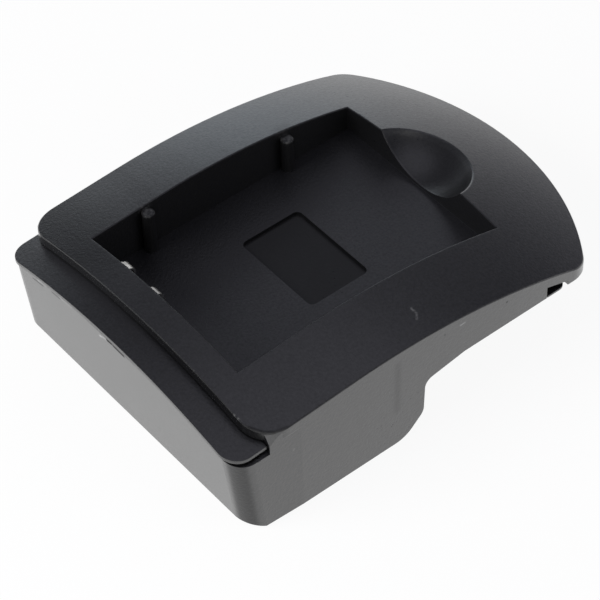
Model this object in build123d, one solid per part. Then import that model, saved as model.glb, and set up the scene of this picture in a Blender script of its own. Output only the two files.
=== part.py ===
from build123d import *
from math import cos, radians, sin, sqrt, tan
import os

# Millimetres. +X runs from the contact end to the scoop end, +Y across, +Z up.
# Origin: middle of the box's bottom face. Places along the cradle are distances from the contact end.

# Battery that the pocket takes
battery_length = 46.5
battery_width = 34.9
battery_play = 0.4
contact_room = 3.3

# Overall form
length = 78.1
width = 57.8
ridge_height = 23.5
end_height = 12.11
apex_at = 28.8
run_slope = 3.3
crown_radius = 114.0
end_radius = 44.7
corner_radius = 5.2
far_corner_radius = 4.5
edge_bevel = 0.15
lip_bevel = 0.15

# Walls
side_wall = 1.7
end_wall = 2.0
plate_thickness = 1.7
pocket_wall = 1.3
floor_thickness = 1.1
end_rim = 4.5

# Contact end: tapering sides, leaning wall, bottom bevel and foot
taper_at = 12.0
near_taper = 2.4
far_taper = 9.5
wall_corner = 3.4
lean_angle = 6.4
bevel_height = 1.8
bevel_at = 2.0
bevel_length = 3.2
foot_length = 4.0
foot_height = 2.4

# Side profile under the block and the overhang
chamfer_at = 31.6
step_at = 35.2
step_low = 3.4
step_top = 9.8
step_lean = 0.3
overhang_at = 43.2
overhang_height = 11.0
bottom_round = 4.5
nose_round = 2.2
throat_round = 1.7

# Strip at the contact end
riser_at = 4.75
riser_gap = 0.3
strip_thickness = 0.6
strip_width = 55.5
strip_offset = -0.45
strip_corner = 3.4
strip_end_at = 6.3
strip_end_gap = 0.15
seat_half = 24.3
side_gap = 0.75
joint_gap = 0.12
joint_depth = 0.3
tongue_at = 7.6
plug_depth = 1.0
strip_leg_length = 6.0
strip_leg_width = 6.0
strip_leg_thickness = 1.3
strip_leg_side = 16.0
flare_angle = 60.0
flare_sink = 0.05

# Battery pocket
pocket_at = 9.55
floor_gap = 0.2
panel_length = 11.4
panel_width = 17.2
panel_at = 36.1
panel_depth = 0.55
panel_corner = 1.0
post_diameter = 2.1
post_at = (19.4, 46.4)
post_drop = (0.6, 0.95)
post_sink = 0.15
post_bevel = 0.25
scoop_radius = 11.0
scoop_rise = 0.6
scoop_wall = 1.2

# Notches and ears at the far end
notch_back = 18.35
notch_length = 4.35
notch_cover = 1.85
ear_length = 3.85
ear_thickness = 0.35
ear_round = 1.3

# Bottom cover and its screws
block_bottom = 2.4
step_wall = 1.6
overhang_cover = 0.8
cover_play = 0.15
screw_at = 15.0
screw_diameter = 2.0
screw_length = 9.0
screw_head_diameter = 3.8
screw_head_height = 1.4
screw_play = 0.1
head_play = 0.3
boss_diameter = 5.0
slot_length = 2.6
slot_width = 0.6
slot_depth = 0.7
head_bevel = 0.35
tip_bevel = 0.4
rib_at = 30.3
rib_thickness = 1.2
rib_low = 5.5

# Contact strips and their holder
contact_y = (10.8, 3.6)
contact_width = 1.8
contact_thickness = 0.35
contact_play = 0.2
contact_reach = (2.6, 2.2)
contact_bend = 0.9
heel_bevel = 0.54
contact_peak_drop = 3.0
contact_tip_drop = 1.3
contact_root_rise = 1.3
terminal_low = 4.8
window_low = 5.2
window_high = 8.6
holder_thickness = 2.4
holder_foot = 7.0
holder_peg_at = 12.0
holder_margin = 3.2
holder_drop = 2.6
holder_rise = 0.7
holder_bevel = 0.6
peg_size = 1.5
peg_play = 0.05
seat_play = 0.05

# Values that follow
half_width = width / 2
pocket_length = battery_length + contact_room
pocket_width = battery_width + battery_play
pocket_end = pocket_at + pocket_length
strip_drop = plate_thickness + riser_gap
seat_drop = strip_drop + strip_thickness
inner_half = half_width - side_wall
foot_end = bevel_at + foot_length
cover_top = overhang_height + overhang_cover
floor_under = cover_top + floor_gap
pocket_floor = floor_under + floor_thickness
scoop_center = pocket_floor + scoop_rise + scoop_radius
contact_root = pocket_floor + contact_root_rise
holder_low = floor_under - holder_drop
holder_high = pocket_floor + holder_rise
notch_at = length - notch_back
end_fall = ridge_height - end_height
fall_radius = ((length - apex_at) ** 2 + end_fall**2) / (2 * end_fall)
boss_y = (pocket_width / 2 + pocket_wall + inner_half) / 2
clear = 10.0
below = -clear
above = ridge_height + clear
fall_turn = 45.0
facing_up = 0.7
same_place = 0.01


def x_at(distance):
    return distance - length / 2


def ridge(distance):
    tangent_at = apex_at - fall_radius * sin(radians(run_slope))
    if distance > tangent_at:
        return ridge_height - fall_radius + sqrt(fall_radius**2 - (distance - apex_at) ** 2)
    tangent_height = ridge_height - fall_radius * (1 - cos(radians(run_slope)))
    return tangent_height - (tangent_at - distance) * tan(radians(run_slope))


def top_height(distance, side):
    return ridge(distance) - crown_radius + sqrt(crown_radius**2 - side**2)


def end_face(height):
    return bevel_at - (height - bevel_height) * tan(radians(lean_angle))


def under_top(drop):
    # Everything below the crowned top lowered by drop: a straight run, then a fall along an arc
    slope = radians(run_slope)
    axis_x = x_at(apex_at)
    axis_z = ridge_height - fall_radius
    tangent = (axis_x - fall_radius * sin(slope), 0, axis_z + fall_radius * cos(slope))
    plane = Plane(origin=tangent, x_dir=(0, 1, 0), z_dir=(cos(slope), 0, sin(slope)))
    reach = width * 0.6
    shoulder = sqrt((crown_radius - drop) ** 2 - reach**2) - crown_radius
    depth = ridge_height + clear * 1.5
    crown = ThreePointArc((-reach, shoulder), (0, -drop), (reach, shoulder))
    sides = Polyline((reach, shoulder), (reach, -depth), (-reach, -depth), (-reach, shoulder))
    section = plane * make_face([crown, sides])
    run = extrude(section, amount=-length)
    fall = revolve(section, Axis((axis_x, 0, axis_z), (0, 1, 0)), fall_turn)
    return run + fall


def prism(face, low, high):
    return extrude(Pos(0, 0, low) * face, amount=high - low)


def side_plate(points, half, rounds=()):
    # Side profile carried across to both sides; rounds pair a corner with its radius
    corners = [(x_at(d), z) for d, z in points]
    face = make_face(Polyline(*corners, close=True))
    for (d, z), radius in rounds:
        corner = face.vertices().sort_by_distance((x_at(d), z, 0))[0]
        face = fillet(corner, radius)
    return extrude(Plane.XZ * face, amount=half, both=True)


def plan(start, stop_radius, half, far, far_corner, near_corner=0):
    # Plan outline from start to an arc that ends at far, with rounded corners
    meet = far - stop_radius + sqrt(stop_radius**2 - half**2)
    edges = [
        Line((x_at(start), half), (x_at(start), -half)),
        Line((x_at(start), -half), (x_at(meet), -half)),
        ThreePointArc((x_at(meet), -half), (x_at(far), 0), (x_at(meet), half)),
        Line((x_at(meet), half), (x_at(start), half)),
    ]
    face = make_face(edges)
    face = fillet(face.vertices().group_by(Axis.X)[-1], far_corner)
    if near_corner:
        face = fillet(face.vertices().group_by(Axis.X)[0], near_corner)
    return face


def block_at(d0, d1, y0, y1, z0, z1):
    size = (d1 - d0, y1 - y0, z1 - z0)
    return Pos(x_at((d0 + d1) / 2), (y0 + y1) / 2, (z0 + z1) / 2) * Box(*size)


def column(distance, side, diameter, low, high):
    return Pos(x_at(distance), side, (low + high) / 2) * Cylinder(diameter / 2, high - low)


def round_end(body, radius):
    # Rounds the two upright corners at the contact end
    edges = [e for e in body.edges() if e.length > ridge_height and e.center().X < x_at(foot_end)]
    upright = [e for e in edges if e.bounding_box().size.Z > ridge_height]
    return fillet(upright, radius)


def tapered(half):
    # Everything between two sides that draw together toward the contact end
    run = taper_at + foot_end
    points = [
        (x_at(-foot_end), run * tan(radians(near_taper)) - half),
        (x_at(taper_at), -half),
        (x_at(length + end_rim), -half),
        (x_at(length + end_rim), half),
        (x_at(taper_at), half),
        (x_at(-foot_end), half - run * tan(radians(far_taper))),
    ]
    return prism(make_face(Polyline(*points, close=True)), below, above)


def under_profile():
    # Lower edge of the block, the step and the overhang, as corners and their radii
    corners = [
        (chamfer_at, 0),
        (step_at, step_low),
        (step_at + step_lean, step_top),
        (overhang_at, overhang_height),
    ]
    return corners, list(zip(corners, (bottom_round, nose_round, throat_round)))


def outer_body():
    corners, rounds = under_profile()
    points = [(end_face(above), above), (end_face(0), 0)] + corners
    points += [(length + end_rim, overhang_height), (length + end_rim, above)]
    body = round_end(side_plate(points, half_width, rounds) & tapered(half_width), wall_corner)
    bevel_top = (bevel_at - foot_length, bevel_height + foot_length * bevel_height / bevel_length)
    bevel_low = (bevel_at + bevel_length + foot_length, -foot_length * bevel_height / bevel_length)
    bevel = [bevel_top, bevel_low, (bevel_at - foot_length, bevel_low[1])]
    return body - side_plate(bevel, width)


def housing_cavity():
    # Hollow under the plate, open at the bottom and, ahead of the plate, at the contact end's top
    inner_face = end_wall / cos(radians(lean_angle))
    points = [
        (foot_end, below),
        (foot_end, foot_height),
        (end_face(foot_height) + inner_face, foot_height),
        (end_face(above) + inner_face, above),
        (length, above),
        (length, below),
    ]
    inner_corner = foot_length - end_wall - cover_play
    hollow = round_end(side_plate(points, inner_half) & tapered(inner_half), inner_corner)
    far = length - end_rim
    opening = plan(-end_rim, end_radius - end_rim, inner_half, far, far_corner_radius)
    hollow = hollow & prism(opening, below, above) & under_top(plate_thickness)
    shell = block_at(
        pocket_at - pocket_wall,
        pocket_end + pocket_wall,
        -pocket_width / 2 - pocket_wall,
        pocket_width / 2 + pocket_wall,
        floor_under,
        above,
    )
    heel = shell.edges().filter_by(Axis.Y).group_by(Axis.X)[0].sort_by(Axis.Z)[0]
    shell = chamfer(heel, heel_bevel)
    bowl = Pos(x_at(pocket_end), 0, scoop_center) * Sphere(scoop_radius + scoop_wall)
    return hollow - shell - bowl


def pocket_mouth():
    return block_at(pocket_at, pocket_end, -pocket_width / 2, pocket_width / 2, pocket_floor, above)


def floor_panel():
    panel = Pos(x_at(panel_at), 0) * RectangleRounded(panel_length, panel_width, panel_corner)
    return prism(panel, pocket_floor - panel_depth, pocket_floor + panel_depth)


def finger_scoop():
    return Pos(x_at(pocket_end), 0, scoop_center) * Sphere(scoop_radius)


def shoulders():
    # Where the side walls flare past the strip's ends, from the slot up to the plate's rounded corners
    start = strip_end_at + strip_end_gap
    stop = riser_at + corner_radius
    rise = seat_drop + side_gap
    top = top_height(stop, half_width) - edge_bevel * 2
    radius = corner_radius - flare_sink
    cones = []
    for side in (-1, 1):
        cone = Cone(radius + rise / tan(radians(flare_angle)), radius, rise)
        cones.append(Pos(x_at(stop), side * (half_width - corner_radius), top - rise / 2) * cone)
    walls = block_at(start, stop, -width, width, below, above)
    walls -= block_at(start, stop, -inner_half, inner_half, below, above)
    return walls & (cones[0] + cones[1])


def side_gaps():
    # Gap that stays open under the strip's corners and sides, and the fine joint along its front edge
    reach = block_at(-end_rim, strip_end_at + strip_end_gap, -width, width, below, above)
    reach -= block_at(-end_rim, length, -seat_half, seat_half, below, above)
    front = end_face(top_height(0, half_width) - seat_drop) + joint_depth
    joint = block_at(-end_rim, front, -width, width, below, above)
    return (reach - under_top(seat_drop + side_gap)) + (joint - under_top(seat_drop + joint_gap))


def crown_faces(body):
    # The top's run and fall, told from the rest by reaching across the width and facing up
    curved = [f for f in body.faces() if f.geom_type != GeomType.PLANE]
    broad = [f for f in curved if f.bounding_box().size.Y > half_width]
    return [f for f in broad if f.normal_at(f.center()).Z > facing_up]


def bevel_plate(body):
    # Breaks the plate's outer top edge
    run, fall = crown_faces(body)
    seam = [e for e in run.edges() if any((e @ 0.5 - f @ 0.5).length < same_place for f in fall.edges())]
    edges = [e for f in (run, fall) for e in f.edges()]
    outer = [e for e in edges if all((e @ 0.5 - f @ 0.5).length > same_place for f in seam)]
    return chamfer(outer, edge_bevel)


def lipped(cut):
    # Everything below the top with a cut made in it, the cut's rim broken
    box = cut.bounding_box()
    body = under_top(0) - cut
    edges = [e for f in crown_faces(body) for e in f.edges()]
    within = [e for e in edges if abs(e.center().Y) < box.max.Y + lip_bevel]
    rim = [e for e in within if box.min.X - lip_bevel < e.center().X < box.max.X + lip_bevel]
    return chamfer(rim, lip_bevel)


def make_housing():
    outline = prism(plan(-end_rim, end_radius, half_width, length, far_corner_radius), below, above)
    plate_plan = plan(riser_at, end_radius, half_width, length, far_corner_radius, corner_radius)
    plate = prism(plate_plan, below, above)
    body = outer_body() & outline
    top = under_top(0)
    skin = (body & under_top(seat_drop)) + (body & plate & under_top(plate_thickness / 2))
    skin += shoulders() & body
    skin -= side_gaps()
    skin += bevel_plate((plate & top) - under_top(plate_thickness))
    skin -= housing_cavity()
    skin = skin & lipped(pocket_mouth()) & lipped(finger_scoop())
    skin -= floor_panel()
    ear_room = block_at(0, length, -width, width, below, overhang_height + ear_thickness + cover_play)
    for side in (-1, 1):
        boss = column(screw_at, side * boss_y, boss_diameter, block_bottom, above)
        rib_in = side * (pocket_width / 2 + pocket_wall)
        rib_out = side * (inner_half + side_wall / 2)
        rib = block_at(
            rib_at - rib_thickness / 2,
            rib_at + rib_thickness / 2,
            min(rib_in, rib_out),
            max(rib_in, rib_out),
            rib_low,
            above,
        )
        skin += (boss + rib) & under_top(plate_thickness / 2)
        skin -= column(screw_at, side * boss_y, screw_diameter + screw_play, below, screw_length)
        notch_in = side * (inner_half - far_corner_radius)
        notch = block_at(
            notch_at,
            notch_at + notch_length,
            min(notch_in, side * width),
            max(notch_in, side * width),
            below,
            above,
        )
        skin -= notch & (under_top(notch_cover) + ear_room)
    for y in contact_y:
        half = contact_width / 2 + contact_play
        skin -= block_at(
            pocket_at - pocket_wall * 2,
            pocket_at + pocket_wall,
            y - half,
            y + half,
            contact_root - pocket_wall,
            top_height(pocket_at, 0) - contact_tip_drop + contact_play,
        )
    post_y = pocket_width / 2 - post_diameter / 2 + post_sink
    for d, drop in zip(post_at, post_drop):
        post = column(d, post_y, post_diameter, pocket_floor, top_height(d, pocket_width / 2) - drop)
        skin += chamfer(post.edges().group_by(Axis.Z)[-1], post_bevel)
    for y in peg_sides():
        skin += peg(y, 0)
    return skin


def peg_sides():
    return (max(contact_y) + holder_margin, min(contact_y) - holder_margin)


def peg(y, play):
    # Upright square peg under the pocket floor
    half = peg_size / 2 + play
    at = holder_peg_at
    return block_at(at - half, at + half, y - half, y + half, holder_low, floor_under)


def make_contact_cover():
    side = strip_width / 2
    flange = block_at(0, strip_end_at, strip_offset - side, strip_offset + side, below, above)
    flange = fillet(flange.edges().filter_by(Axis.Z).group_by(Axis.X)[0], strip_corner)
    tongue = block_at(strip_end_at - strip_corner, tongue_at, -width, width, below, above)
    tongue = tongue & tapered(inner_half - cover_play)
    strip = (flange + tongue) & (under_top(strip_drop) - under_top(seat_drop))
    leg_low = top_height(0, strip_leg_side) - seat_drop - strip_leg_length
    wall_face = end_face(leg_low) + end_wall / cos(radians(lean_angle)) + cover_play
    plug_half = inner_half - corner_radius / 2
    plug = block_at(wall_face, tongue_at, -plug_half, plug_half, below, above)
    strip += plug & (under_top(seat_drop - strip_thickness / 2) - under_top(seat_drop + plug_depth))
    for y in (-strip_leg_side, strip_leg_side):
        leg = block_at(
            wall_face,
            wall_face + strip_leg_thickness,
            y - strip_leg_width / 2,
            y + strip_leg_width / 2,
            leg_low,
            above,
        )
        strip += leg & under_top(seat_drop)
    return strip


def make_bottom_cover():
    corners, rounds = under_profile()
    far = length - end_rim - cover_play
    inner_low = (chamfer_at - step_wall / 2, block_bottom)
    points = [(foot_end + cover_play, 0)] + corners + [(far, overhang_height), (far, cover_top)]
    points += [(step_at - step_wall + step_lean, cover_top), (step_at - step_wall, step_low + step_wall / 2)]
    points += [inner_low, (foot_end + cover_play, block_bottom)]
    half = inner_half - cover_play
    cover = side_plate(points, half, rounds)
    outline = plan(0, end_radius - end_rim - cover_play, half, far, far_corner_radius)
    cover = cover & prism(outline, below, above) & tapered(half)
    cover = cover & under_top(plate_thickness + cover_play)
    ear = block_at(
        notch_at + cover_play,
        notch_at + cover_play + ear_length,
        -half_width,
        half_width,
        overhang_height,
        overhang_height + ear_thickness,
    )
    cover += fillet(ear.edges().filter_by(Axis.Z).group_by(Axis.X)[-1], ear_round)
    for side in (-1, 1):
        cover -= column(screw_at, side * boss_y, screw_diameter + screw_play, below, cover_top)
        cover -= column(screw_at, side * boss_y, screw_head_diameter + head_play, below, screw_head_height)
    for y in contact_y:
        half = contact_width / 2 + contact_play
        window = (step_at - step_wall * 2, step_at + step_wall, y - half, y + half)
        cover -= block_at(*window, window_low, window_high)
    return cover


def make_contact(y, reach):
    # One stamped strip: bow in the pocket, shank behind its end wall, run under the floor, terminal
    gap = contact_thickness / 2 + seat_play
    shank = pocket_at - pocket_wall - gap
    run = floor_under - gap
    drop = step_at - step_wall - gap
    rim = top_height(pocket_at, y)
    path = FilletPolyline(
        (x_at(pocket_at - pocket_wall / 2), rim - contact_tip_drop),
        (x_at(pocket_at + reach), rim - contact_peak_drop),
        (x_at(shank), contact_root),
        (x_at(shank), run),
        (x_at(drop), run),
        (x_at(drop), terminal_low),
        radius=contact_bend,
    )
    strip = extrude(Plane.XZ * trace(path, contact_thickness), amount=contact_width / 2, both=True)
    return Pos(0, y, 0) * strip


def make_contact_holder():
    # Angle-shaped clamp: foot under the pocket floor, upstand behind the pocket's end wall
    back = pocket_at - pocket_wall
    low_y = peg_sides()[1] - peg_size
    high_y = peg_sides()[0] + peg_size
    front = back - holder_thickness
    foot = block_at(front, back + holder_foot, low_y, high_y, holder_low, floor_under)
    upstand = block_at(front, back, low_y, high_y, holder_low, holder_high)
    clamp = foot + upstand
    clamp = chamfer(clamp.edges().filter_by(Axis.Y).group_by(Axis.X)[0], holder_bevel)
    deep = contact_thickness + seat_play * 2
    for y in contact_y:
        half = contact_width / 2 + seat_play
        sides = (y - half, y + half)
        clamp -= block_at(back - deep, back + contact_thickness, *sides, floor_under - deep, holder_high)
        clamp -= block_at(back - deep, back + holder_foot, *sides, floor_under - deep, floor_under)
    for y in peg_sides():
        clamp -= peg(y, peg_play)
    return clamp


def make_cover_screws():
    screws = []
    for side in (-1, 1):
        y = side * boss_y
        head = column(screw_at, y, screw_head_diameter, 0, screw_head_height)
        head = chamfer(head.edges().group_by(Axis.Z)[0], head_bevel)
        for along, across in ((slot_length, slot_width), (slot_width, slot_length)):
            head -= block_at(
                screw_at - along / 2,
                screw_at + along / 2,
                y - across / 2,
                y + across / 2,
                below,
                slot_depth,
            )
        shank = column(screw_at, y, screw_diameter, screw_head_height, screw_length - screw_play)
        shank = chamfer(shank.edges().group_by(Axis.Z)[-1], tip_bevel)
        screws.append(head + shank)
    return Compound(children=screws)


nodes = {
    "housing": make_housing(),
    "contact_cover": make_contact_cover(),
    "bottom_cover": make_bottom_cover(),
    "contact_holder": make_contact_holder(),
    "positive_contact": make_contact(contact_y[0], contact_reach[0]),
    "negative_contact": make_contact(contact_y[1], contact_reach[1]),
    "cover_screws": make_cover_screws(),
}

os.makedirs("parts", exist_ok=True)
for name, shape in nodes.items():
    export_step(shape, f"parts/{name}.step")
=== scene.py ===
import bpy
from mathutils import Matrix, Vector


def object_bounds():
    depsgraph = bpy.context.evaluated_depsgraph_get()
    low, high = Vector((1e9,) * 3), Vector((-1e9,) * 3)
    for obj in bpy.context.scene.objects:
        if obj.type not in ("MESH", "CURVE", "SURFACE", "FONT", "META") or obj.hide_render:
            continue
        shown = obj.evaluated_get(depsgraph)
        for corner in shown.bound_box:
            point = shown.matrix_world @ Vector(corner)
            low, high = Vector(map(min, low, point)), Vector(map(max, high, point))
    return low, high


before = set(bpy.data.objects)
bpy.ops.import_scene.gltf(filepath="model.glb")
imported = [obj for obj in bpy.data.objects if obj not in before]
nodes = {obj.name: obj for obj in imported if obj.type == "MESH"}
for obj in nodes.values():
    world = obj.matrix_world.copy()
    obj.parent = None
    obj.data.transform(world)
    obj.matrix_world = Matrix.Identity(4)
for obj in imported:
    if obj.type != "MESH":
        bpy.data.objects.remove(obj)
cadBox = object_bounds()
print("frame loaded:", ", ".join(sorted(nodes)))

scene = bpy.context.scene
scene.view_settings.view_transform = "Standard"
mm = 0.001  # the frame is in metres, places on the part are written in mm


class Wire:  # one socket; arithmetic on it adds Math nodes, make() adds any other node
    def __init__(self, tree, socket=None):
        self.tree = tree
        self.socket = socket

    def make(self, kind, settings, inputs, output=0):
        node = self.tree.nodes.new(kind)
        for name, value in settings.items():
            setattr(node, name, value)
        for name, value in inputs.items():
            if isinstance(value, Wire):
                self.tree.links.new(value.socket, node.inputs[name])
            else:
                node.inputs[name].default_value = value
        return Wire(self.tree, node.outputs[output] if node.outputs else None)

    def math(self, operation, first, second=0.0):
        return self.make("ShaderNodeMath", {"operation": operation}, {0: first, 1: second})

    def __add__(self, other):
        return self.math("ADD", self, other)

    def __radd__(self, other):
        return self.math("ADD", other, self)

    def __sub__(self, other):
        return self.math("SUBTRACT", self, other)

    def __rsub__(self, other):
        return self.math("SUBTRACT", other, self)

    def __mul__(self, other):
        return self.math("MULTIPLY", self, other)

    def __rmul__(self, other):
        return self.math("MULTIPLY", other, self)

    def __abs__(self):
        return self.math("ABSOLUTE", self)

    def most(self, other):
        return self.math("MAXIMUM", self, other)

    def least(self, other):
        return self.math("MINIMUM", self, other)

    def above(self, start, stop):  # 0 below start, 1 past stop, smooth between
        limits = {"Value": self, "From Min": start, "From Max": stop}
        return self.make("ShaderNodeMapRange", {"interpolation_type": "SMOOTHSTEP"}, limits)

    def vector(self, operation, first, second, output=0):
        inputs = {0: first, "Scale" if operation == "SCALE" else 1: second}
        return self.make("ShaderNodeVectorMath", {"operation": operation}, inputs, output)

    def dot(self, first, second):
        return self.vector("DOT_PRODUCT", first, second, "Value")


def grey(level, warm=0.0):  # near-grey colour; warm tips it to yellow, below zero to blue
    red = max(warm, 0.0)
    return (level * (1 + red), level * (1 + red / 2), level * (1 - warm), 1.0)


def blend(wire, share, low, high):  # colour mix, on the node's colour sockets
    return wire.make("ShaderNodeMix", {"data_type": "RGBA"}, {0: share, 6: low, 7: high}, 2)


def turned(wire, share, low, high):  # normal mix, on the node's vector sockets
    return wire.make("ShaderNodeMix", {"data_type": "VECTOR"}, {0: share, 4: low, 5: high}, 1)


def noise(wire, place, scale, detail):
    inputs = {"Vector": place, "Scale": scale, "Detail": detail}
    return wire.make("ShaderNodeTexNoise", {}, inputs, "Fac")


def swing(grain, amount):  # noise about its middle
    return (grain - 0.5) * amount


def objectPlace(wire):
    return wire.make("ShaderNodeTexCoord", {}, {}, "Object")


def splitAxes(wire, place):
    return [wire.make("ShaderNodeSeparateXYZ", {}, {0: place}, axis) for axis in "XYZ"]


def spanShare(axis, span):  # 0 to 1 between two places on an axis, in mm
    start, stop = span
    return axis.above(start * mm, stop * mm)


boxEdge = 0.05  # mm, a box mask fades this far to either side of its faces
lineEdge = (0.1, 0.9)  # a line mask fades between these shares of its width
pointReach = 1e-12  # square metres, for a line whose ends are one point


def inBox(axes, box):  # 1 inside a box given by two corners, in mm
    mask = 1.0
    for axis, start, stop in zip(axes, *box):
        middle, half = (start + stop) / 2, (stop - start) / 2
        outside = spanShare(abs(axis - middle * mm), (half - boxEdge, half + boxEdge))
        mask = (1 - outside) * mask
    return mask


def nearLine(wire, place, start, stop, width):  # 1 on a line between two points, 0 past its width
    start, stop = Vector(start) * mm, Vector(stop) * mm
    run = stop - start
    reach = max(run.length_squared, pointReach)
    offset = wire.vector("SUBTRACT", place, start)
    along = wire.dot(offset, run / reach).most(0.0).least(1.0)
    foot = wire.vector("SCALE", run, along)
    gap = wire.vector("DISTANCE", offset, foot, "Value")
    return 1 - spanShare(gap, [width * share for share in lineEdge])


def newMaterial(name):
    material = bpy.data.materials.new(name)
    material.use_nodes = True
    material.node_tree.nodes.clear()
    return material, Wire(material.node_tree)


def finishMaterial(wire, shader):
    wire.make("ShaderNodeOutputMaterial", {}, {"Surface": shader})


# grain of all the moulded plastic
mouldGrain = {
    "cloud": (60.0, 3.0),  # scale and detail of the broad clouds
    "spark": (2200.0, 2.0),  # of the grain
    "fine": (6000.0, 1.0),  # of the finest grain
    "darker": 0.7,  # colour at the noise's low and high ends
    "paler": 1.35,
    "sparkGloss": 0.85,
    "fineGloss": 0.6,
    "wallShare": 0.35,  # walls have this share of the grain in the gloss of flat tops
    "cloudRough": 0.08,
    "sparkRough": 0.15,
    "sparkDepth": 0.7,  # the grain's share of the bump, the finest grain has the rest
    "depth": 0.07,  # mm
    "edge": 0.3,  # mm, softened edges
    "edgeRays": 6,
    "index": 1.55,
}

# boxes are two corners; places and widths are in mm
housingPlastic = {
    "colour": 0.0045,
    "tint": -0.07,
    "roughness": 0.32,
    "grain": 0.9,
    "coat": 0.78,
    "marks": [  # start, stop, width, how pale
        ((-2.12, -24.00, 20.64), (-2.00, -25.10, 20.39), 0.34, 0.30),  # bent scratch, near rim
        ((-2.00, -25.10, 20.39), (-2.71, -25.80, 20.28), 0.34, 0.20),
        ((3.17, -28.90, 17.28), (4.15, -28.90, 17.35), 0.26, 0.5),  # scuff on the near wall
        ((-1.03, -17.75, 21.70), (-0.83, -17.75, 21.70), 0.30, 0.22),  # burr on the pocket's lip
        ((27.49, -6.62, 16.77), (27.80, -6.40, 16.65), 0.24, 0.16),  # specks
        ((20.30, -5.02, 13.30), (20.30, -5.10, 13.30), 0.25, 0.05),
        ((-28.43, -28.84, 13.33), (-28.40, -28.84, 13.33), 0.36, 0.4),
        ((-34.20, -22.80, 19.92), (-34.20, -22.95, 19.90), 0.26, 0.16),  # nicks, plate's edge
        ((-34.15, -23.60, 19.84), (-34.12, -23.80, 19.80), 0.28, 0.16),
        ((-38.88, 3.30, 18.15), (-38.92, 2.30, 18.55), 0.34, 1.0),  # nicks under the strip
        ((-38.93, 2.00, 18.65), (-38.94, 1.60, 18.70), 0.30, 0.8),
        ((-38.77, 19.27, 17.17), (-38.83, 17.04, 17.69), 0.34, 0.5),
        ((-38.88, 13.20, 18.20), (-38.90, 10.40, 18.50), 0.34, 0.4),
    ],
    # colour of the wear marks, also of the painted highlights
    "markAndLightColour": 0.3,
    "markGrain": (0.38, 0.60),  # the grain breaks the marks up
    "markLeast": 0.3,
    "gaps": [  # start, stop, width, how dark
        ((-38.95, 1.30, 18.90), (-38.97, 0.20, 19.00), 0.46, 1.0),  # the strip stands off here
        ((-38.96, -0.30, 18.90), (-38.95, -2.70, 18.80), 0.46, 1.0),
        ((-38.67, 20.87, 16.26), (-38.73, 18.11, 16.76), 0.24, 0.6),
        ((-38.82, 15.53, 17.60), (-38.84, 13.42, 17.79), 0.26, 0.6),
        ((-8.90, -28.90, 17.13), (-9.10, -28.90, 7.52), 1.20, 0.16),  # sink line of the rib inside
        ((0.15, -28.90, 17.37), (0.15, -28.90, 17.37), 0.30, 0.5),  # dark specks
        ((12.41, -28.90, 15.92), (12.41, -28.90, 15.92), 0.36, 0.6),
        ((-33.85, -25.54, 19.37), (-32.57, -27.44, 18.99), 0.46, 0.7),  # plate's near corner
        ((-32.57, -27.44, 18.99), (-31.30, -28.30, 18.85), 0.46, 0.7),
        ((-31.30, -28.30, 18.85), (-29.50, -28.70, 18.85), 0.46, 0.5),
    ],
    "gapRough": 0.6,
    "panel": ((-8.8, -8.75, 12.3), (2.9, 8.75, 12.95)),  # smooth panel in the pocket floor
    "panelDull": 0.95,
    "panelSmooth": 0.7,
    "floor": ((-26.0, -17.6, 12.97), (20.4, 17.6, 13.35)),  # pocket floor, matt and paler
    "floorColour": 0.010,
    "floorTint": -0.14,
    "floorCloud": (0.4, 0.6),  # least cover of that finish, and what the noise adds
    "floorSlant": 0.2,  # painted shade: the floor's gloss is cut toward the corner by the posts
    "floorShade": (-4.0, 13.0),
    "floorShadeCut": 0.9,
    "riser": ((-34.8, -29.0, 15.0), (-34.24, 29.0, 23.0)),  # plate's edge over the strip
    "riserPaintedLight": 0.010,
    "riserFar": (-12.0, 10.0),  # toward its far end it gets painted light in its colour and less of its painted-shade gloss cut
    "riserShadeCut": (0.9, 0.15),
    "riserSmooth": 0.2,
    "ledge": ((-39.0, -29.0, 14.8), (-32.5, -27.0, 16.4)),  # seat under the strip's near end, whose flat faces get painted shade by a cut in their gloss
    "flatFrom": (0.7, 0.9),  # upright share of a normal from which a face counts as flat
    "rimAlong": (5.0, 16.0),  # painted shade: the rim over the strip has its gloss cut at its far end
    "rimAcross": (-33.0, -20.0),
    "rimShadeCut": 0.9,
    "scoop": ((20.6, -9.8, 12.0), (30.0, 9.8, 20.0)),
    "scoopFall": (24.0, 0.277),  # the plate's height at the middle, and its fall to the scoop
    "scoopUnder": (0.1, 0.6),  # depth below the plate from which the scoop gets painted shade, its gloss cut
    "scoopShadeCut": 0.5,
    "corner": (-0.76, -0.65, -0.05),  # the rounded upright corner faces this way, and gets painted shade by a cut in its gloss
    "cornerShadeCut": 0.8,
    "flare": (-0.46, -0.73, 0.51),  # so does the flare over the strip's near end, which gets a painted highlight
    "flareBox": ((-34.0, -29.2, 16.0), (-29.0, -27.0, 18.55)),
    "flarePaintedLight": 0.1,
    "facing": (0.84, 0.97),  # how nearly a face looks that way
    "paintedSheenEnd": (5.0, 30.0),  # painted sheen: the walls' gloss rises toward the scoop end
    "paintedSheenGain": 0.2,
    "posts": ((-19.65, 16.75, 20.6), (7.35, 16.75, 19.2)),  # middles of their heads
    "postHeight": 10.0,
    "postReach": 3.9,
    # the post stems get painted shade, their gloss cut
    "postShadeCut": 0.8,
    "headHeight": 1.0,  # the head tops get a painted highlight, mottled by the grain
    "headReach": 2.6,
    "headEdge": 0.1,
    "headGrain": (0.35, 0.75),
    "headPaintedLight": 0.1,
    "edgesAbove": (15.5, 16.5),  # edges are softened over this height only
}
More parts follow.
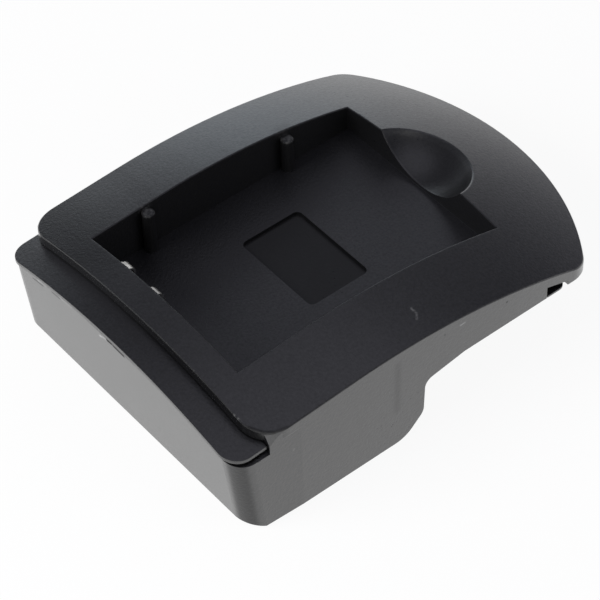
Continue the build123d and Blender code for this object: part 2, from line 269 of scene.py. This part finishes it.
coverPlastic = {
    "colour": 0.004,
    "tint": -0.08,
    "roughness": 0.32,
    "grain": 0.9,
    "coat": 0.7,
    "innerPaintedLight": 0.012,  # painted light: the strip's inner edge is paler toward its far end, against the shade by the riser
    "innerAcross": (-36.2, -34.6),
    "innerAlong": (-15.0, 12.0),
}
basePlastic = {"colour": 0.0045, "tint": -0.05, "roughness": 0.36, "grain": 0.9, "coat": 0.8}
holderPlastic = {"colour": 0.31, "tint": 0.08, "roughness": 0.5, "grain": 0.5, "coat": 0.3}


def facingShare(wire, look, normal, direction):  # 1 where a face looks this way
    return wire.dot(normal, direction).above(*look["facing"])


def glossShare(wire, look, place, axes, normal, level):  # 1 on plain faces, less on the dull panel and where painted shade cuts the gloss
    flat = level.above(*look["flatFrom"])
    nearDull, farLess = look["riserShadeCut"]
    riserShadeCut = nearDull - spanShare(axes[1], look["riserFar"]) * farLess
    shade = spanShare(axes[1] - axes[0] * look["floorSlant"], look["floorShade"])
    height, fall = look["scoopFall"]
    under = spanShare(height * mm - axes[0] * fall - axes[2], look["scoopUnder"])
    across = 1 - spanShare(axes[0], look["rimAcross"])
    rim = spanShare(axes[1], look["rimAlong"]) * across * flat
    dullAndShadedPlaces = [
        (inBox(axes, look["panel"]), look["panelDull"]),
        (inBox(axes, look["riser"]), riserShadeCut),
        (inBox(axes, look["floor"]) * shade, look["floorShadeCut"]),
        (inBox(axes, look["scoop"]) * under, look["scoopShadeCut"]),
        (inBox(axes, look["ledge"]), flat),
        (rim, look["rimShadeCut"]),
        (facingShare(wire, look, normal, look["corner"]), look["cornerShadeCut"]),
    ]
    for x, y, z in look["posts"]:
        foot = (x, y, z - look["postHeight"])
        stem = nearLine(wire, place, foot, (x, y, z), look["postReach"])
        dullAndShadedPlaces.append((stem, look["postShadeCut"]))
    keep = 1.0
    for mask, dull in dullAndShadedPlaces:
        keep = (1 - mask * dull) * keep
    return keep


def wearAndLightMask(wire, look, place, axes, normal, spark):  # how pale the wear marks are, plus painted highlights on the flare and the post heads
    flare = facingShare(wire, look, normal, look["flare"]) * inBox(axes, look["flareBox"])
    wornAndLit = flare * look["flarePaintedLight"]
    least = look["markLeast"]
    broken = spark.above(*look["markGrain"]) * (1 - least) + least
    for start, stop, width, pale in look["marks"]:
        mark = nearLine(wire, place, start, stop, width) * broken
        wornAndLit = (mark * pale).most(wornAndLit)
    headLight = spark.above(*look["headGrain"]) * look["headPaintedLight"]
    for x, y, z in look["posts"]:
        top = (x, y, z + look["headHeight"])
        head = nearLine(wire, place, (x, y, z), top, look["headReach"])
        head = head * spanShare(axes[2], (z, z + look["headEdge"]))
        wornAndLit = (head * headLight).most(wornAndLit)
    return wornAndLit


def gapMask(wire, look, place):  # how dark the gaps and sink lines are
    dark = 0.0
    for start, stop, width, depth in look["gaps"]:
        line = nearLine(wire, place, start, stop, width) * depth
        dark = line.most(dark)
    return dark


def mouldedPlastic(name, look):
    material, wire = newMaterial(name)
    place = objectPlace(wire)
    axes = splitAxes(wire, place)
    kinds = ("cloud", "spark", "fine")
    cloud, spark, fine = [noise(wire, place, *mouldGrain[kind]) for kind in kinds]
    low = grey(look["colour"] * mouldGrain["darker"], look["tint"])
    high = grey(look["colour"] * mouldGrain["paler"], look["tint"])
    colour = blend(wire, (cloud + spark) * 0.5, low, high)
    normal = wire.make("ShaderNodeNewGeometry", {}, {}, "Normal")
    level = abs(wire.make("ShaderNodeSeparateXYZ", {}, {0: normal}, "Z"))  # 1 on tops, 0 on walls
    sparkle = swing(spark, mouldGrain["sparkGloss"]) + swing(fine, mouldGrain["fineGloss"])
    wallShare = mouldGrain["wallShare"]
    coat = look["coat"] + sparkle * (level * (1 - wallShare) + wallShare)
    rough = look["roughness"] + swing(cloud, mouldGrain["cloudRough"])
    rough = rough + swing(spark, mouldGrain["sparkRough"])
    sparkDepth = mouldGrain["sparkDepth"]
    depth = spark * sparkDepth + fine * (1 - sparkDepth)
    rounding = {"Radius": mouldGrain["edge"] * mm}
    edge = wire.make("ShaderNodeBevel", {"samples": mouldGrain["edgeRays"]}, rounding)
    if "marks" in look:  # the housing
        least, more = look["floorCloud"]
        matt = inBox(axes, look["floor"]) * ((cloud + spark) * more + least)
        riser = inBox(axes, look["riser"])
        farRiserLight = riser * spanShare(axes[1], look["riserFar"])
        wornAndLit = wearAndLightMask(wire, look, place, axes, normal, spark)
        colour = blend(wire, matt, colour, grey(look["floorColour"], look["floorTint"]))
        # painted light: the riser's far end is made paler in colour
        colour = blend(wire, farRiserLight, colour, grey(look["riserPaintedLight"], look["tint"]))
        # wear marks, and painted highlights on the flare and the post heads
        colour = blend(wire, wornAndLit, colour, grey(look["markAndLightColour"]))
        dark = gapMask(wire, look, place)
        # painted sheen: more gloss on the walls toward the scoop end
        coat = coat + spanShare(axes[0], look["paintedSheenEnd"]) * (1 - level) * look["paintedSheenGain"]
        coat = coat * glossShare(wire, look, place, axes, normal, level) * (1 - dark)
        rough = rough + dark * look["gapRough"] - riser * look["riserSmooth"]
        depth = depth * (1 - inBox(axes, look["panel"]) * look["panelSmooth"])
        edge = turned(wire, spanShare(axes[2], look["edgesAbove"]), normal, edge)
    if "innerPaintedLight" in look:  # the strip, with painted light on its inner edge
        inner = spanShare(axes[0], look["innerAcross"]) * spanShare(axes[1], look["innerAlong"])
        colour = blend(wire, inner, colour, grey(look["innerPaintedLight"], look["tint"]))
    bump = wire.make(
        "ShaderNodeBump",
        {},
        {
            "Height": depth,
            "Strength": look["grain"],
            "Distance": mouldGrain["depth"] * mm,
            "Normal": edge,
        },
    )
    shader = wire.make(
        "ShaderNodeBsdfPrincipled",
        {},
        {
            "Base Color": colour,
            "Roughness": rough,
            "Normal": bump,
            "Coat Weight": coat.most(0.0).least(1.0),
            "Coat Roughness": look["roughness"],
            "IOR": mouldGrain["index"],
            "Coat IOR": mouldGrain["index"],
        },
    )
    finishMaterial(wire, shader)
    return material


# plated metal of the contacts and the screws
metalGrain = {
    "cloud": (400.0, 3.0),  # scale and detail of the tarnish
    "lines": (1.0, 2.0),  # of the rolling lines, on a stretched place
    "patches": (0.3, 0.6),  # the cloud's range from dark to pale
    "darker": 0.8,
    "darkTint": 1.5,
    "paler": 1.08,
    "cloudRough": 0.2,
    "lineRough": 0.15,
    "strength": 0.25,
    "depth": 0.02,  # mm
}
contactPlate = {"colour": 0.9, "tint": 0.03, "roughness": 0.26, "lines": (300.0, 6000.0, 300.0)}
screwSteel = {"colour": 0.5, "tint": 0.0, "roughness": 0.38, "lines": (2500.0, 2500.0, 400.0)}


def platedMetal(name, look):
    material, wire = newMaterial(name)
    place = objectPlace(wire)
    cloud = noise(wire, place, *metalGrain["cloud"])
    stretched = wire.make("ShaderNodeMapping", {}, {"Vector": place, "Scale": look["lines"]})
    lines = noise(wire, stretched, *metalGrain["lines"])
    low = grey(look["colour"] * metalGrain["darker"], look["tint"] * metalGrain["darkTint"])
    high = grey(look["colour"] * metalGrain["paler"], look["tint"])
    colour = blend(wire, cloud.above(*metalGrain["patches"]), low, high)
    rough = look["roughness"] + swing(cloud, metalGrain["cloudRough"])
    rough = rough + swing(lines, metalGrain["lineRough"])
    bump = wire.make(
        "ShaderNodeBump",
        {},
        {
            "Height": lines,
            "Strength": metalGrain["strength"],
            "Distance": metalGrain["depth"] * mm,
        },
    )
    shader = wire.make(
        "ShaderNodeBsdfPrincipled",
        {},
        {"Base Color": colour, "Roughness": rough, "Metallic": 1.0, "Normal": bump},
    )
    finishMaterial(wire, shader)
    return material


def dress(node, material):
    mesh = nodes[node].data
    mesh.materials.clear()
    mesh.materials.append(material)


contactMetal = platedMetal("contactPlating", contactPlate)
dress("housing", mouldedPlastic("housingPlastic", housingPlastic))
dress("contact_cover", mouldedPlastic("coverPlastic", coverPlastic))
dress("bottom_cover", mouldedPlastic("basePlastic", basePlastic))
dress("contact_holder", mouldedPlastic("holderPlastic", holderPlastic))
dress("positive_contact", contactMetal)
dress("negative_contact", contactMetal)
dress("cover_screws", platedMetal("screwSteel", screwSteel))
print("materials set")

# floor, world and lamps, in metres
floorLook = {"size": 4.0, "drop": 0.00005, "colour": 0.92, "glow": 0.92}
roomLook = {
    "bright": (0.99, 0.99, 1.0, 1.0),  # backdrop behind the part
    "dim": (0.272, 0.275, 0.312, 1.0),  # open side at the right
    "beyond": (0.32, 0.34, 0.37, 1.0),  # past the backdrop's left edge
    "toward": (-0.6, 0.8, 0.0),  # the way to the backdrop
    "turn": (-0.35, 0.40),  # from the open side to the backdrop
    "edge": (0.44, 0.60),  # from the backdrop to what is beyond it
    "above": (0.125, 0.125, 0.15, 1.0),  # room between the backdrop and the soft box
    "rise": (0.15, 0.60),
    "spots": [  # colour, direction, where it starts and is full
        ((0.46, 0.46, 0.53, 1.0), (0.1, -0.1, 0.99), (0.78, 0.97)),  # soft box overhead
        ((0.90, 1.00, 1.10, 1.0), (0.55, 0.78, 0.30), (0.955, 0.995)),  # window at the back
        ((0.19, 0.19, 0.22, 1.0), (0.53, 0.49, 0.69), (0.945, 0.995)),  # its pale reflection
        ((1.00, 1.00, 1.00, 1.0), (-0.45, -0.86, 0.25), (0.86, 0.95)),  # card in front
    ],
}
lamps = {
    "keyLamp": {
        "place": (-0.55, 0.15, 0.32),
        "aim": (-0.18, 0.05, 0.0),
        "size": 0.4,
        "watts": 5.0,
        "shine": False,  # its own shape isn't mirrored
    },
    "fillLamp": {
        "place": (0.30, -0.55, 0.16),
        "aim": (0.10, -0.15, 0.0),
        "size": 0.4,
        "watts": 1.6,
        "shine": False,
    },
    "contactLamp": {
        "place": (0.20, 0.26, 0.37),
        "aim": (-0.02, 0.0, 0.015),
        "size": 0.2,
        "watts": 4.0,
        "shine": True,
        "only": ("positive_contact", "negative_contact"),  # lights these pieces alone
    },
}


def shownRay(wire):  # 1 for camera, glossy and transmission rays
    kinds = ("Is Camera Ray", "Is Glossy Ray", "Is Transmission Ray")
    camera, glossy, through = [wire.make("ShaderNodeLightPath", {}, {}, kind) for kind in kinds]
    return (camera + glossy + through).least(1.0)


def makeFloor():
    bpy.ops.object.select_all(action="DESELECT")
    bpy.ops.mesh.primitive_plane_add(size=floorLook["size"])
    floor = bpy.context.object
    floor.name = "floor"
    floor.location.z = cadBox[0][2] - floorLook["drop"]
    material, wire = newMaterial("paleFloor")
    paint = wire.make("ShaderNodeBsdfDiffuse", {}, {"Color": grey(floorLook["colour"])})
    glow = wire.make("ShaderNodeEmission", {}, {"Color": grey(1.0), "Strength": 1.0})
    share = shownRay(wire) * floorLook["glow"]
    shader = wire.make("ShaderNodeMixShader", {}, {0: share, 1: paint, 2: glow})
    finishMaterial(wire, shader)
    floor.data.materials.append(material)


def makeRoom():
    world = bpy.data.worlds.new("room")
    scene.world = world
    world.use_nodes = True
    world.node_tree.nodes.clear()
    wire = Wire(world.node_tree)
    ray = wire.make("ShaderNodeTexCoord", {}, {}, "Generated")
    height = wire.make("ShaderNodeSeparateXYZ", {}, {0: ray}, "Z")
    side = wire.dot(ray, roomLook["toward"])
    walls = blend(wire, side.above(*roomLook["turn"]), roomLook["dim"], roomLook["bright"])
    walls = blend(wire, side.above(*roomLook["edge"]), walls, roomLook["beyond"])
    colour = blend(wire, height.above(*roomLook["rise"]), walls, roomLook["above"])
    for tone, direction, spread in roomLook["spots"]:
        colour = blend(wire, wire.dot(ray, direction).above(*spread), colour, tone)
    light = wire.make("ShaderNodeBackground", {}, {"Color": colour, "Strength": 1.0})
    wire.make("ShaderNodeOutputWorld", {}, {"Surface": light})


def makeLamp(name, look):
    data = bpy.data.lights.new(name, "AREA")
    data.size = look["size"]
    data.energy = look["watts"]
    lamp = bpy.data.objects.new(name, data)
    scene.collection.objects.link(lamp)
    lamp.location = look["place"]
    lamp.visible_glossy = look["shine"]
    if "only" in look:
        lit = bpy.data.collections.new(name + "Lit")
        for node in look["only"]:
            lit.objects.link(nodes[node])
        lamp.light_linking.receiver_collection = lit
    aim = Vector(look["aim"]) - Vector(look["place"])
    lamp.rotation_euler = aim.to_track_quat("-Z", "Y").to_euler()


makeFloor()
makeRoom()
for name, look in lamps.items():
    makeLamp(name, look)
print("floor, room and lamps set")

# camera, solved from the edges in the photograph
pictureSize = 600
view = {
    "place": (-0.18117, -0.23036, 0.31401),
    "forward": (0.4170, 0.5424, -0.7294),
    "right": (0.7754, -0.6310, -0.0259),
    "lens": 164.376,
    "sensor": 36.0,
    "shift": (-0.5 / pictureSize, 0.5 / pictureSize),  # half a pixel
    "clip": 0.01,
}


def makeCamera():
    data = bpy.data.cameras.new("camera")
    data.sensor_width = view["sensor"]
    data.lens = view["lens"]
    data.shift_x, data.shift_y = view["shift"]
    data.clip_start = view["clip"]
    forward = Vector(view["forward"]).normalized()
    right = Vector(view["right"])
    right = (right - forward * right.dot(forward)).normalized()
    up = right.cross(forward)
    turn = Matrix((right, up, -forward)).transposed()
    camera = bpy.data.objects.new("camera", data)
    scene.collection.objects.link(camera)
    camera.matrix_world = Matrix.Translation(view["place"]) @ turn.to_4x4()
    scene.camera = camera


makeCamera()
print("camera set")
